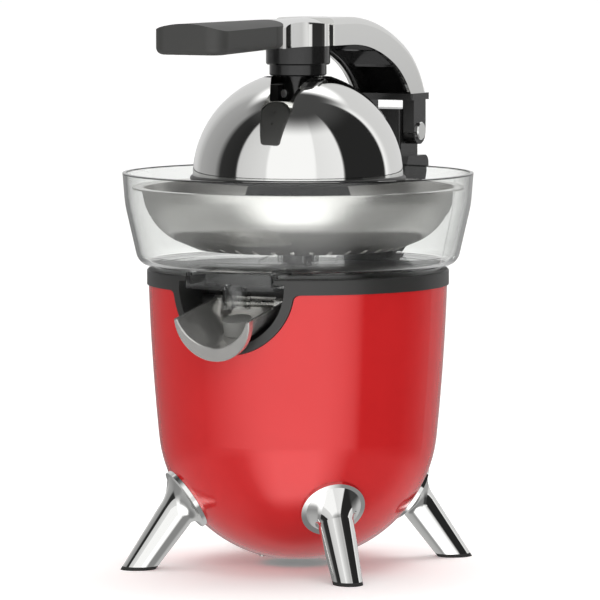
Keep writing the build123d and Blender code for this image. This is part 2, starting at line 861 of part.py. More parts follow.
def gearbox_upper():
    solid = gearbox_fill(gearbox_out_r, gearbox_split_z, gearbox_top_z)
    for x, y in gearbox_screw_spots():
        solid += disc(post_r + screw_boss_wall, gearbox_split_z, deck_z - deck_t, x, y)
    solid -= gearbox_fill(gearbox_in_r, gearbox_split_z - cut_over, gearbox_top_z - gearbox_floor)
    boss_z = output_wheel_z + output_wheel_t + pinion_over + axle_boss_gap
    solid += disc(idler_axle_r + axle_boss_w, boss_z, gearbox_top_z, 0, gear_gap)
    solid -= disc(idler_axle_r, gearbox_split_z, gearbox_top_z - cut_over, 0, gear_gap)
    solid -= disc(bush_r, gearbox_split_z, gearbox_top_z + cut_over)
    for x, y in gearbox_screw_spots():
        solid -= disc(motor_bolt_r + seat_gap, gearbox_split_z - cut_over, gearbox_top_z, x, y)
    return solid


def gearbox_screws():
    screws = []
    for x, y in gearbox_screw_spots():
        low = gearbox_low_z - gearbox_screw_head
        head = disc(post_r, low, gearbox_low_z, x, y)
        screws.append(head + disc(motor_bolt_r, low, gearbox_top_z - cut_over, x, y))
    return group(screws)


def idler_axle():
    return disc(idler_axle_r, gearbox_low_z + cut_over, gearbox_top_z - cut_over, 0, gear_gap)


def output_bush():
    return ring(bush_r, output_hub_r + run_gap, gearbox_top_z - gearbox_floor, gearbox_top_z)


# Spindle group
def drive_spindle():
    half = spindle_square / 2
    solid = block(-half, half, -half, half, spindle_low_z, spindle_step_z)
    return solid + disc(spindle_r, spindle_step_z, spindle_top_z)


def switch_collar():
    low = switch_collar_z
    return ring(switch_collar_r, spindle_r, low, low + switch_collar_t)


def spring_path():
    low = hub_top_z + spring_wire / 2 + seat_gap
    high = switch_collar_z - spring_wire / 2 - seat_gap
    quarters = 4 * spring_turns
    rise = (high - low) / quarters
    points = []
    tangents = []
    for k in range(quarters + 1):
        a = k * pi / 2
        points.append(Vector(spring_r * cos(a), spring_r * sin(a), low + rise * k))
        tangents.append(Vector(-spring_r * sin(a) * pi / 2, spring_r * cos(a) * pi / 2, rise).normalized())
    return points, tangents


def return_spring():
    points, tangents = spring_path()
    edges = []
    for p, q, s, t in zip(points, points[1:], tangents, tangents[1:]):
        chord = q - p
        both = s + t
        a = both.dot(both) - 4
        b = -2 * chord.dot(both)
        c = chord.dot(chord)
        d = (-b - sqrt(b * b - 4 * a * c)) / (2 * a)
        joint = (p + s * d + q - t * d) * 0.5
        edges.append(TangentArc(p, joint, tangent=s))
        edges.append(TangentArc(q, joint, tangent=-t))
    path = Wire(edges)
    start = Plane(origin=points[0], z_dir=-tangents[0])
    return sweep(start * Circle(spring_wire / 2), path=path)


def reamer():
    low = reamer_z
    base = low + reamer_flange_t
    top = low + reamer_h
    waist = low + reamer_h * reamer_waist_part
    cone_r = reamer_r * reamer_cone_part
    side = ThreePointArc((cone_r, base), (cone_r * reamer_bulge_part, waist), (0, top))
    solid = turned(side, Polyline((0, top), (0, base), (cone_r, base)))
    solid += disc(reamer_r, low, base)
    rib_r = reamer_r * reamer_rib_part
    crest = ThreePointArc((rib_r, base - cut_over), (rib_r * reamer_bulge_part, waist), (0, top + cut_over))
    rest = Polyline((0, top + cut_over), (0, base - cut_over), (rib_r, base - cut_over))
    rib = side_cut(-reamer_rib_t / 2, reamer_rib_t / 2, crest, rest)
    for k in range(reamer_ribs):
        solid += Rot(0, 0, 360 / reamer_ribs * (k + 0.5)) * rib
    room = Cone(cone_r - reamer_skin, reamer_hub_r + reamer_hub_gap, reamer_h * reamer_room_part,
                align=up_from_base)
    solid -= Pos(0, 0, low) * room - disc(reamer_hub_r, low, top)
    return solid - disc(spindle_r + seat_gap / 2, low - cut_over, spindle_top_z + seat_gap)


def shaft_seal():
    outer = spindle_r + bush_wall
    solid = ring(outer, spindle_r + run_gap, deck_z - deck_t, deck_z + deck_boss_h)
    return solid + ring(outer + seal_lip_w, spindle_r + run_gap,
                        deck_z - deck_t - seal_lip_t, deck_z - deck_t)


def microswitch():
    wide, deep, tall = microswitch_size
    middle = plunger_x + microswitch_aside
    low = gearbox_top_z
    solid = block(middle - wide / 2, middle + wide / 2, -deep / 2, deep / 2, low, low + tall)
    return solid - disc(plunger_r + run_gap, low + microswitch_floor, low + tall + cut_over, plunger_x)


def switch_plunger():
    low = gearbox_top_z + microswitch_floor + press_travel + plunger_gap
    return disc(plunger_r, low, switch_collar_z - seat_gap, plunger_x)


# Motor
def bolt_spots():
    s = bolt_spread
    return [(-s, -s), (s, -s), (-s, s), (s, s)]


def motor_stator():
    outline = fillet(Rectangle(2 * stator_half, 2 * stator_half).vertices(), stator_round)
    solid = Pos(0, 0, stator_low_z) * extrude(outline, stator_h)
    solid -= disc(rotor_r + air_gap, stator_low_z - cut_over, stator_top_z + cut_over)
    reach = rotor_r + pole_gap_depth
    solid -= block(-reach, reach, -pole_gap_half, pole_gap_half,
                   stator_low_z - cut_over, stator_top_z + cut_over)
    for x, y in bolt_spots():
        solid -= disc(motor_bolt_r + seat_gap, stator_low_z - cut_over, stator_top_z + cut_over, x, y)
    return solid


def field_coils():
    outer = stator_half - coil_in
    inner = rotor_r + air_gap + coil_room
    turns = []
    for low in (stator_low_z - coil_depth, stator_top_z):
        high = low + coil_depth
        hoop = ring(outer, inner, low, high)
        hoop -= block(-outer, outer, -coil_gap_half, coil_gap_half, low - cut_over, high + cut_over)
        for x, y in bolt_spots():
            hoop -= disc(post_r + air_gap, low - cut_over, high + cut_over, x, y)
        turns.extend(hoop.solids())
    return group(turns)


def motor_bracket():
    solid = disc(bracket_r, bracket_z, bracket_z + bracket_t)
    for x, y in bolt_spots():
        solid += disc(post_r, bracket_z, stator_low_z, x, y)
        solid -= disc(motor_bolt_r + seat_gap, bracket_z - cut_over, stator_low_z + cut_over, x, y)
    solid += disc(bearing_r + gearbox_wall, bracket_z - bracket_boss, bracket_z + bearing_t)
    solid -= disc(bearing_r, bracket_z, bracket_z + bearing_t + cut_over)
    return solid - disc(motor_shaft_r + shaft_room, bracket_z - bracket_boss - cut_over, bracket_z + cut_over)


def motor_bearings():
    lower = ring(bearing_r, motor_shaft_r + run_gap, bracket_z, bracket_z + bearing_t)
    upper = ring(bearing_r, motor_shaft_r + run_gap, gearbox_low_z - bearing_t + bearing_lift, gearbox_low_z)
    return group([lower, upper])


def motor_bolts():
    bolts = []
    for x, y in bolt_spots():
        low = bracket_z - motor_bolt_head
        head = disc(post_r, low, bracket_z, x, y)
        bolts.append(head + disc(motor_bolt_r, low, stator_top_z + motor_bolt_in, x, y))
    return group(bolts)


def brush_holders():
    middle = commutator_z + commutator_h / 2
    near = commutator_r + brush_gap
    far = near + brush_len
    holder = block(near, far, -brush_half_w, brush_half_w, middle - brush_half_h, middle + brush_half_h)
    holder += block(far - brush_foot, far, -brush_half_w, brush_half_w, bracket_z + bracket_t, middle)
    return group([holder, mirror(holder, Plane.YZ)])


def rotor_shaft():
    solid = disc(motor_shaft_r, motor_low_z, gearbox_low_z + shaft_step)
    pinion_low = idler_wheel_z - pinion_over
    pinion_high = idler_wheel_z + idler_wheel_t + pinion_over
    solid += disc(pinion_shaft_r, gearbox_low_z, pinion_high)
    return solid + gear(pinion_teeth, pinion_low, pinion_high, 180 / pinion_teeth)


def rotor_core():
    solid = ring(rotor_r, motor_shaft_r, stator_low_z, stator_top_z)
    slot_in = rotor_r - rotor_slot_depth
    slot = block(slot_in, rotor_r + cut_over, -rotor_slot_half, rotor_slot_half,
                 stator_low_z - cut_over, stator_top_z + cut_over)
    for k in range(rotor_slots):
        solid -= Rot(0, 0, 360 / rotor_slots * k) * slot
    return solid


def commutator():
    return ring(commutator_r, motor_shaft_r, commutator_z, commutator_z + commutator_h)


def cooling_fan():
    hub_r = motor_shaft_r + fan_hub_wall
    solid = ring(hub_r, motor_shaft_r, fan_z, fan_z + fan_h)
    solid += ring(fan_r, hub_r - fan_hub_wall / 2, fan_z, fan_z + fan_plate_t)
    blade = block(hub_r + fan_hub_wall / 2, fan_r, -fan_blade_half, fan_blade_half, fan_z, fan_z + fan_h)
    for k in range(fan_blades):
        solid += Rot(0, 0, 360 / fan_blades * k) * blade
    return solid


# Rear tower and hinge
def tower_screw_y():
    return tower_foot_y + tower_screw_in


def rear_tower():
    low = body_top_z
    shoulder = (tower_back_y, tower_top_z - tower_shoulder)
    step_z = deck_z + tower_foot_step
    back = SagittaArc((collar_r, low), shoulder, -tower_sag)
    ramp_y = tower_foot_y + tower_ramp
    rest = Polyline(shoulder, (tower_back_y, tower_top_z), (tower_front_y, tower_top_z), (ramp_y, step_z),
                    (tower_foot_y, step_z), (tower_foot_y, low), (collar_r, low))
    solid = side_cut(-tower_half_w, tower_half_w, back, rest)
    corner = Vector(0, tower_back_y, tower_top_z)
    top_back = [e for e in solid.edges().filter_by(Axis.X) if (e.center() - corner).length < pick_gap]
    solid = fillet(top_back, tower_round)
    foot_z = tower_top_z - tower_round
    line = Polyline((tower_front_y, foot_z), (post_back_y, foot_z), (post_back_y, hinge_z),
                    (post_back_y - post_slope, post_top_z), (tower_front_y, post_top_z), close=True)
    post = side_cut(-post_half_w, post_half_w, line)
    solid += fillet(post.edges().filter_by(Axis.Z), post_edge)
    solid -= bowl_envelope(tower_bowl_gap)
    solid -= rod_x(hinge_bush_r, -tower_half_w, tower_half_w, hinge_y, hinge_z)
    for x in (-tower_screw_x, tower_screw_x):
        solid -= disc(tower_screw_r + seat_gap, low - cut_over, deck_z - tower_screw_head, x, tower_screw_y())
    return solid


def tower_screws():
    screws = []
    low = ledge_z - tower_screw_head
    high = deck_z - tower_screw_head - seat_gap
    for x in (-tower_screw_x, tower_screw_x):
        head = disc(tower_screw_r * tower_head_part, low, ledge_z, x, tower_screw_y())
        screws.append(head + disc(tower_screw_r, low, high, x, tower_screw_y()))
    return group(screws)


def hinge_bush():
    solid = rod_x(hinge_bush_r, -post_half_w, post_half_w, hinge_y, hinge_z)
    reach = post_half_w + cut_over
    return solid - rod_x(hinge_pin_r + run_gap, -reach, reach, hinge_y, hinge_z)


def hinge_pin():
    solid = rod_x(hinge_pin_r, -arm_half_w, arm_half_w, hinge_y, hinge_z)
    head = rod_x(hinge_head_r, arm_half_w, arm_half_w + hinge_head_t, hinge_y, hinge_z)
    head = chamfer(head.edges().group_by(Axis.X)[-1], hinge_head_edge)
    return solid + head + mirror(head, Plane.YZ)


# Lever
def swan_line(inset, bend_z, mid, end, end_z):
    centre_z = bend_z - ((mid[0] - arm_bend_y) ** 2 + (mid[1] - bend_z) ** 2) / (2 * (bend_z - mid[1]))
    first_r = bend_z - centre_z
    along = ((mid[0] - arm_bend_y) / first_r, (mid[1] - centre_z) / first_r)
    away = (mid[0] - end[0], mid[1] - end[1])
    second_r = (away[0] ** 2 + away[1] ** 2) / (2 * (along[0] * away[0] + along[1] * away[1]))
    second = (mid[0] - along[0] * second_r, mid[1] - along[1] * second_r)
    mid = (mid[0] - along[0] * inset, mid[1] - along[1] * inset)
    end = (second[0] + sqrt((second_r - inset) ** 2 - (end_z - second[1]) ** 2), end_z)
    over = TangentArc((arm_bend_y, bend_z - inset), mid, tangent=(1, 0))
    return [over, TangentArc(mid, end, tangent=over % 1)]


def arm_profile(inset, lift, start_y, end_z):
    top = swan_line(inset, arm_top_z, arm_top_mid, (arm_end_back_y, arm_end_z), end_z)
    low = swan_line(-lift, arm_low_z, arm_low_mid, (arm_end_front_y, arm_end_z), end_z)
    front = Polyline(top[0] @ 0, (start_y, arm_top_z - inset), (start_y, arm_low_z + lift), low[0] @ 0)
    return [*top, Line(top[1] @ 1, low[1] @ 1), *low, front]


def arm_room(inset, start_y):
    top = swan_line(inset, arm_top_z, arm_top_mid, (arm_end_back_y, arm_end_z), arm_end_z)
    end = top[1] @ 1
    low = arm_end_z - cut_over
    under = Polyline(end, (end.X, low), (start_y, low), (start_y, arm_top_z - inset), top[0] @ 0)
    return [*top, under]


def handle_bar(half_w, y0, y1):
    side_z = arm_low_z + grip_side_h
    crown = ThreePointArc((-half_w, side_z), (0, side_z + grip_crown), (half_w, side_z))
    rest = Polyline((half_w, side_z), (half_w, arm_low_z), (-half_w, arm_low_z), (-half_w, side_z))
    return Pos(0, y1, 0) * extrude(Plane.XZ * make_face([crown, rest]), y1 - y0)


def grip_end(gap):
    return disc(grip_end_r + gap, arm_low_z - cut_over, arm_top_z + clear_over, 0, grip_joint_y - grip_end_r)


def tang(gap):
    low = arm_low_z + (grip_side_h - tang_t) / 2
    half = tang_half_w + gap
    return block(-half, half, grip_joint_y - tang_len - gap, grip_joint_y + tang_root,
                 low - gap, low + tang_t + gap)


def grip_screw_set(radius, low, high):
    return [disc(radius, low, high, 0, grip_joint_y - tang_len * part) for part in grip_screw_parts]


def waist_cut(side):
    front = grip_joint_y - grip_end_r / 2
    half = (arm_start_y - front) / 2
    radius = (half**2 + neck_waist**2) / (2 * neck_waist)
    off = neck_half_w - neck_waist + radius
    return disc(radius, arm_low_z - cut_over, arm_top_z + cut_over, side * off, (front + arm_start_y) / 2)


def arm_cover():
    half = arm_half_w
    solid = side_cut(-half, half, *arm_profile(0, 0, arm_start_y, arm_end_z))
    curved = [e for e in solid.edges() if e.geom_type == GeomType.CIRCLE]
    outer = [e for e in curved if (e @ 0.5).Z > arm_line_z((e @ 0.5).Y)]
    solid = fillet(outer, arm_edge_round)
    solid -= side_cut(arm_wall - half, half - arm_wall, *arm_room(arm_wall, arm_room_y))
    neck_front = grip_joint_y - grip_end_r * neck_front_part
    neck = handle_bar(neck_half_w, neck_front, arm_start_y + cut_over) - grip_end(seat_gap)
    solid += neck - waist_cut(1) - waist_cut(-1)
    solid += disc(boss_r, arm_low_z, arm_low_z + grip_side_h + cut_over)
    solid += tang(0)
    for hole in grip_screw_set(grip_screw_r, arm_low_z, arm_low_z + grip_side_h):
        solid -= hole
    return solid - disc(neck_r + seat_gap, arm_low_z - cut_over, neck_top_z + seat_gap)


def arm_line_z(y):
    mid_top = (arm_top_mid[1] + arm_low_mid[1]) / 2
    mid_y = (arm_top_mid[0] + arm_low_mid[0]) / 2
    fall = (mid_top - arm_end_z) / (mid_y - arm_end_back_y)
    return mid_top + fall * (y - mid_y)


def ear():
    front = hinge_y - ear_r
    back = hinge_y + ear_r
    top = arm_end_z - band_t / 2
    arc = ThreePointArc((front, hinge_z), (hinge_y, hinge_z - ear_r), (back, hinge_z))
    rest = Polyline((back, hinge_z), (back, top), (front, top), (front, hinge_z))
    return side_cut(ear_in_x, arm_half_w, arc, rest)


def arm_core():
    inset = arm_wall + seat_gap
    half = arm_half_w - inset
    start = arm_room_y + seat_gap
    lift = core_lift
    solid = side_cut(-half, half, *arm_profile(inset, lift, start, arm_end_z))
    hollow = half - core_wall
    solid -= side_cut(-hollow, hollow, *arm_room(inset + core_wall, start + core_wall))
    span = arm_end_front_y - start
    for k in range(core_ribs):
        y = start + span * (k + 1) / (core_ribs + core_rib_end)
        wall = block(-hollow - cut_over, hollow + cut_over, y - core_rib_t / 2, y + core_rib_t / 2,
                     arm_end_z, arm_top_z)
        solid += wall & side_cut(-half, half, *arm_profile(inset, lift + core_rib_lift, start, arm_end_z))
    band_half = arm_half_w + band_lip
    low = arm_end_z - band_t
    front = arm_end_front_y
    back = arm_end_back_y
    band = block(-band_half, band_half, front - band_lip, back + band_lip, low, arm_end_z)
    band = fillet(band.edges().filter_by(Axis.Z), band_edge)
    band_back = back - core_wall - band_back_more
    band -= block(-ear_in_x, ear_in_x, front + core_wall, band_back, low - cut_over, arm_end_z + cut_over)
    solid += band
    solid += ear()
    solid += mirror(ear(), Plane.YZ)
    return solid - rod_x(hinge_pin_r, -arm_half_w - cut_over, arm_half_w + cut_over, hinge_y, hinge_z)


def grip():
    neck_y = grip_joint_y - grip_end_r
    tip_half_w = grip_half_w + grip_flare
    low = arm_low_z - grip_drop
    under = Polyline((neck_y, arm_low_z), (grip_tip_y, low), (grip_tip_y, arm_low_z + cut_over),
                     (neck_y, arm_low_z + cut_over), close=True)
    plan = make_face(Polyline((-grip_half_w, neck_y), (-tip_half_w, grip_tip_y), (tip_half_w, grip_tip_y),
                              (grip_half_w, neck_y), close=True))
    plan = fillet([v for v in plan.vertices() if v.Y < grip_tip_y + pick_gap], grip_round)
    solid = handle_bar(tip_half_w, grip_tip_y, grip_joint_y) + side_cut(-tip_half_w, tip_half_w, under)
    solid &= Pos(0, 0, low - cut_over) * extrude(plan, arm_top_z - low + 2 * cut_over) + grip_end(0)
    low_edges = solid.faces().sort_by(Axis.Z)[0].edges()
    solid = fillet([e for e in low_edges if e.center().Y < neck_y - pick_gap], grip_edge)
    solid -= tang(seat_gap)
    for hole in grip_screw_set(grip_screw_r + seat_gap, low - cut_over, arm_low_z + grip_side_h / 2):
        solid -= hole
    return solid


def grip_screws():
    top = arm_low_z + (grip_side_h + tang_t) / 2 - grip_screw_short
    return group(grip_screw_set(grip_screw_r, arm_low_z + grip_screw_short, top))


# Hub and press dome
def hub_collar():
    bore = neck_r + seat_gap
    small_rim = [(hub_step_r - hub_edge, hub_low_z), (hub_step_r, hub_low_z + hub_edge)]
    small_end = [*small_rim, (hub_step_r, hub_step_z)]
    large_end = [(hub_r - hub_edge, hub_step_z), (hub_r, hub_step_z + hub_edge), (hub_r, arm_low_z)]
    return turned(Polyline((bore, hub_low_z), *small_end, *large_end, (bore, arm_low_z), close=True))


def neck_screw_rod(radius, start, end):
    place = Pos(0, 0, tilt_z) * Rot(0, 0, neck_screw_turn) * Rot(90, 0, 0) * Pos(0, 0, start)
    return place * Cylinder(radius, end - start, align=up_from_base)


def hub_neck():
    solid = disc(neck_r, neck_low_z, neck_top_z)
    solid -= neck_screw_rod(neck_screw_r + seat_gap, tilt_pin_r + neck_screw_gap, neck_r + cut_over)
    return solid - rod_x(tilt_pin_r + run_gap, -neck_r - cut_over, neck_r + cut_over, 0, tilt_z)


def neck_screw():
    head = neck_screw_rod(neck_screw_r * neck_head_part, neck_r, neck_r + neck_head_t)
    start = tilt_pin_r + neck_screw_gap + 2 * seat_gap
    return head + neck_screw_rod(neck_screw_r, start, neck_r + neck_head_t / 2)


def dome_ball(radius):
    return Pos(0, 0, dome_z) * Sphere(radius)


def press_dome():
    solid = dome_ball(dome_r) - dome_ball(inner_dome_r)
    solid -= disc(dome_r + cut_over, dome_z - dome_r - cut_over, dome_low_z)
    solid -= disc(dome_hole_r, dome_z, dome_z + dome_r + cut_over)
    top_y = -dome_hole_r * dome_notch_top_part
    outline = Polyline((-dome_notch_flare, top_y), (-dome_notch_half_w, -dome_notch_r),
                       (dome_notch_half_w, -dome_notch_r), (dome_notch_flare, top_y), close=True)
    face = make_face(outline)
    low_corners = [v for v in face.vertices() if v.Y < -dome_notch_r + pick_gap]
    face = fillet(low_corners, dome_notch_round)
    return solid - Rot(0, 0, dome_notch_turn) * Pos(0, 0, dome_z) * extrude(face, dome_r + cut_over)


def dome_bead():
    bead = Pos(0, 0, dome_low_z + bead_r / 2) * Torus(dome_r, bead_r)
    room = dome_ball(dome_r + seat_gap / 2)
    room -= disc(dome_r + clear_over, dome_z - dome_r - cut_over, dome_low_z - seat_gap / 2)
    return bead - room


def press_liner():
    inside = dome_ball(inner_dome_r - seat_gap / 2)
    rim_r = sqrt(inner_dome_r**2 - (liner_z + liner_t + liner_rim_h - dome_z) ** 2)
    top = liner_z + liner_t
    solid = disc(dome_r, liner_z, top) + ring(dome_r, rim_r - liner_wall, liner_z, top + liner_rim_h)
    near = neck_r + liner_lug_gap
    lug_top = tilt_z + tilt_pin_r * 2
    lug = block(near, near + liner_lug_w, -liner_lug_half, liner_lug_half, liner_z + cut_over, lug_top)
    solid += lug
    solid += mirror(lug, Plane.YZ)
    solid &= inside
    return solid - rod_x(tilt_pin_r, -dome_r, dome_r, 0, tilt_z)


def tilt_pin():
    half = neck_r + liner_lug_gap + liner_lug_w
    return rod_x(tilt_pin_r, -half, half, 0, tilt_z)


os.makedirs("parts", exist_ok=True)

makers = [
    body_shell, top_collar, base_cover, foot_pads, leg_bolts, base_screws, cord_gland, juice_bowl, strainer,
    spout_trough, drip_pad, spout_pin, output_gear, output_clip, idler_gear, gearbox_lower, gearbox_upper,
    gearbox_screws, idler_axle, output_bush, drive_spindle, switch_collar, return_spring, reamer, shaft_seal,
    microswitch, switch_plunger, motor_stator, field_coils, motor_bracket, motor_bearings, motor_bolts,
    brush_holders, rotor_shaft, rotor_core, commutator, cooling_fan, rear_tower, tower_screws, hinge_bush,
    hinge_pin, arm_cover, arm_core, grip, grip_screws, hub_collar, hub_neck, neck_screw, press_dome,
    dome_bead, press_liner, tilt_pin,
]
for maker in makers:
    export_step(maker(), f"parts/{maker.__name__}.step")
for place, turn in leg_places.items():
    export_step(Rot(0, 0, turn) * leg(), f"parts/leg_{place}.step")
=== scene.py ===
import bpy
import bmesh
import json
from math import cos, pi, radians, sin
from mathutils import Matrix, Vector


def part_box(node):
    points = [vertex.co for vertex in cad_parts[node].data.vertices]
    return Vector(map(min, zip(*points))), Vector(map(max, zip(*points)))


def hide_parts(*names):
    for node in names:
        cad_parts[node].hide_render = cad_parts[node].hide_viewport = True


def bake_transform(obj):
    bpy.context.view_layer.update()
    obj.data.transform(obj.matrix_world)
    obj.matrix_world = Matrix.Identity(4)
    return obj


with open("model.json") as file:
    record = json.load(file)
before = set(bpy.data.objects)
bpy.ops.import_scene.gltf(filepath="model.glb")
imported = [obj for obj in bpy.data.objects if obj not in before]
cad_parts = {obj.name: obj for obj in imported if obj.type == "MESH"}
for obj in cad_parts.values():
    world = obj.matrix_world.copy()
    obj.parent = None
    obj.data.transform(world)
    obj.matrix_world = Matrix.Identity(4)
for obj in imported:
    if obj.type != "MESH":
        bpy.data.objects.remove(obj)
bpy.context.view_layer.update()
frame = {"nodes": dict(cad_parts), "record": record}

nodes = frame["nodes"]
scene = bpy.context.scene
mm = 0.001
print("frame loaded:", len(nodes), "nodes")


# camera at the photo's viewing angle, a long lens from far off
cameraSet = {"azimuth": 28.0, "elevation": 4.83, "distance": 2.95, "aim": (0, 0, 0.156),
             "lens": 300.0, "sensor": 36.0, "shift": 2 / 600, "sight": 100.0}


def placeCamera(s):
    azimuth = radians(s["azimuth"])
    elevation = radians(s["elevation"])
    back = Vector((sin(azimuth) * cos(elevation), -cos(azimuth) * cos(elevation), sin(elevation)))
    data = bpy.data.cameras.new("studioCamera")
    data.lens = s["lens"]
    data.sensor_width = s["sensor"]
    data.shift_x = s["shift"]
    data.clip_end = s["sight"]
    camera = bpy.data.objects.new("studioCamera", data)
    camera.location = Vector(s["aim"]) + back * s["distance"]
    camera.rotation_mode = "QUATERNION"
    camera.rotation_quaternion = (-back).to_track_quat("-Z", "Y")
    scene.collection.objects.link(camera)
    scene.camera = camera


placeCamera(cameraSet)
scene.view_settings.view_transform = "Standard"
print("camera placed")


# sRGB hex to linear
def fromHex(text):
    parts = [int(text[k:k + 2], 16) / 255 for k in (1, 3, 5)]
    return tuple(c / 12.92 if c <= 0.04045 else ((c + 0.055) / 1.055) ** 2.4 for c in parts) + (1,)


# one node with its settings, and its sockets linked or set
def addNode(tree, kind, links=None, **settings):
    node = tree.nodes.new(kind)
    for name, value in settings.items():
        setattr(node, name, value)
    for socket, value in (links or {}).items():
        if isinstance(value, bpy.types.NodeSocket):
            tree.links.new(value, node.inputs[socket])
        else:
            node.inputs[socket].default_value = value
    return node


def newMaterial(name, **sockets):
    material = bpy.data.materials.new(name)
    material.use_nodes = True
    shader = material.node_tree.nodes["Principled BSDF"]
    for socket, value in sockets.items():
        shader.inputs[socket.replace("_", " ")].default_value = value
    return material, material.node_tree, shader


# noise scale that gives marks of a real size
def perMm(size):
    return 1 / (size * mm)


# studio light: a white front, a dark flag each side and a bright ceiling behind, turned to the camera's side.
# Shiny pieces mirror a ceiling that is darker in front than the one that lights the scene.
studio = {
    "turn": -cameraSet["azimuth"], "strength": 1.14, "ceilingBack": 3.0,
    "lamps": {"front": 0.22, "split": (-0.3, 0.2)},
    "mirrored": {"front": 0.06, "split": (-0.5, -0.25)},
    # heights, straight down -1 and straight up 1, between which one level fades into the next
    "nadir": (-0.985, -0.82), "ground": (-0.42, -0.25), "horizon": (-0.1, 0.0), "ceiling": (0.72, 0.96),
    "below": (0.2, 0.2, 0.2, 1),
    # degrees from the front, and the brightness there
    "high": [(-180, 0.66), (-150, 0.6), (-134, 0.38), (-104, 0.3), (-95, 0.03), (-72, 0.02), (-70, 0.62),
             (-36, 0.74), (-34, 1.0), (19, 1.0), (21, 0.8), (51, 0.86), (52.5, 0.02), (110, 0.02), (113, 1.0),
             (122, 0.66), (180, 0.66)],
    "low": [(-180, 0.22), (-100, 0.24), (-82, 0.26), (-70, 0.5), (-42, 1.2), (-25, 1.38), (22, 1.38),
            (36, 1.15), (46, 0.75), (53, 0.05), (92, 0.05), (108, 0.16), (130, 0.36), (180, 0.3)],
    "under": [(-180, 0.5), (-90, 0.4), (-60, 0.28), (-48, 0.4), (-34, 1.3), (-20, 1.8), (16, 1.8), (30, 1.2),
              (46, 0.25), (95, 0.25), (120, 0.5), (180, 0.5)],
}


def buildWorld(s):
    world = bpy.data.worlds.new("studioLight")
    scene.world = world
    world.use_nodes = True
    tree = world.node_tree
    tree.nodes.clear()
    coord = addNode(tree, "ShaderNodeTexCoord")
    turned = addNode(tree, "ShaderNodeMapping", {"Vector": coord.outputs["Generated"],
                                                 "Rotation": (0, 0, radians(s["turn"]))})
    split = addNode(tree, "ShaderNodeSeparateXYZ", {"Vector": turned.outputs["Vector"]})
    towards = addNode(tree, "ShaderNodeMath", {0: split.outputs["Y"], 1: -1}, operation="MULTIPLY")
    angle = addNode(tree, "ShaderNodeMath", {0: split.outputs["X"], 1: towards.outputs[0]},
                    operation="ARCTAN2")
    part = addNode(tree, "ShaderNodeMapRange", {"Value": angle.outputs[0], "From Min": -pi, "From Max": pi})
    levels = {}
    for height in ("under", "low", "high"):
        ramp = addNode(tree, "ShaderNodeValToRGB", {"Fac": part.outputs[0]})
        stops = ramp.color_ramp.elements
        while len(stops) < len(s[height]):
            stops.new(0.5)  # each gets its own place below
        for stop, (degrees, level) in zip(stops, s[height]):
            stop.position = (degrees + 180) / 360
            stop.color = (level, level, level, 1)
        levels[height] = ramp.outputs["Color"]
    lids = {}
    for kind in ("lamps", "mirrored"):
        front, edge = s[kind]["front"], s[kind]["split"]
        lid = addNode(tree, "ShaderNodeMapRange", {"Value": towards.outputs[0], "From Min": edge[0],
                                                   "From Max": edge[1], "To Min": s["ceilingBack"],
                                                   "To Max": front}, interpolation_type="SMOOTHSTEP")
        lids[kind] = lid.outputs["Result"]
    ray = addNode(tree, "ShaderNodeLightPath")
    overall = addNode(tree, "ShaderNodeMix", {"Factor": ray.outputs["Is Glossy Ray"], "A": lids["lamps"],
                                              "B": lids["mirrored"]}, data_type="RGBA")
    above = (("nadir", levels["under"]), ("ground", levels["low"]), ("horizon", levels["high"]),
             ("ceiling", overall.outputs["Result"]))
    light = s["below"]
    for edge, level in above:
        rise = addNode(tree, "ShaderNodeMapRange", {"Value": split.outputs["Z"], "From Min": s[edge][0],
                                                    "From Max": s[edge][1]}, interpolation_type="SMOOTHSTEP")
        mixed = addNode(tree, "ShaderNodeMix", {"Factor": rise.outputs[0], "A": light, "B": level},
                        data_type="RGBA")
        light = mixed.outputs["Result"]
    glow = addNode(tree, "ShaderNodeBackground", {"Color": light, "Strength": s["strength"]})
    addNode(tree, "ShaderNodeOutputWorld", {"Surface": glow.outputs[0]})


buildWorld(studio)


# pale paper floor, wide enough to fill the frame, and lit from below so the shadow under the body stays pale
floorSet = {"size": 60.0, "colour": "#fafaf9", "roughness": 0.9, "shine": 0.1, "glow": 0.18}


def makeFloor(s):
    mesh = bpy.data.meshes.new("floor")
    bm = bmesh.new()
    bmesh.ops.create_grid(bm, x_segments=1, y_segments=1, size=s["size"] / 2)
    bm.to_mesh(mesh)
    bm.free()
    floor = bpy.data.objects.new("floor", mesh)
    scene.collection.objects.link(floor)
    paper = fromHex(s["colour"])
    material, tree, shader = newMaterial("paperSweep", Base_Color=paper, Roughness=s["roughness"],
                                         Specular_IOR_Level=s["shine"], Emission_Color=paper,
                                         Emission_Strength=s["glow"])
    # mirrored rays pass the floor, so that shiny pieces show the studio's bands below the horizon too
    path = addNode(tree, "ShaderNodeLightPath")
    mirrored = addNode(tree, "ShaderNodeMath", {0: path.outputs["Glossy Depth"], 1: 0.5},
                       operation="GREATER_THAN")  # from the first mirroring on
    clear = addNode(tree, "ShaderNodeBsdfTransparent")
    sweep = addNode(tree, "ShaderNodeMixShader", {0: mirrored.outputs[0], 1: shader.outputs[0],
                                                  2: clear.outputs[0]})
    tree.links.new(sweep.outputs[0], tree.nodes["Material Output"].inputs["Surface"])
    mesh.materials.append(material)


makeFloor(floorSet)


# soft overhead light, which gives the floor its shadow
overhead = {"size": 1.6, "power": 14.0, "place": (0.1, 0.2, 1.9)}


def addOverhead(s):
    data = bpy.data.lights.new("overhead", "AREA")
    data.size = s["size"]
    data.energy = s["power"]
    lamp = bpy.data.objects.new("overhead", data)
    lamp.location = s["place"]
    lamp.visible_glossy = False  # no square in the polished dome
    scene.collection.objects.link(lamp)


addOverhead(overhead)
print("light and floor ready")


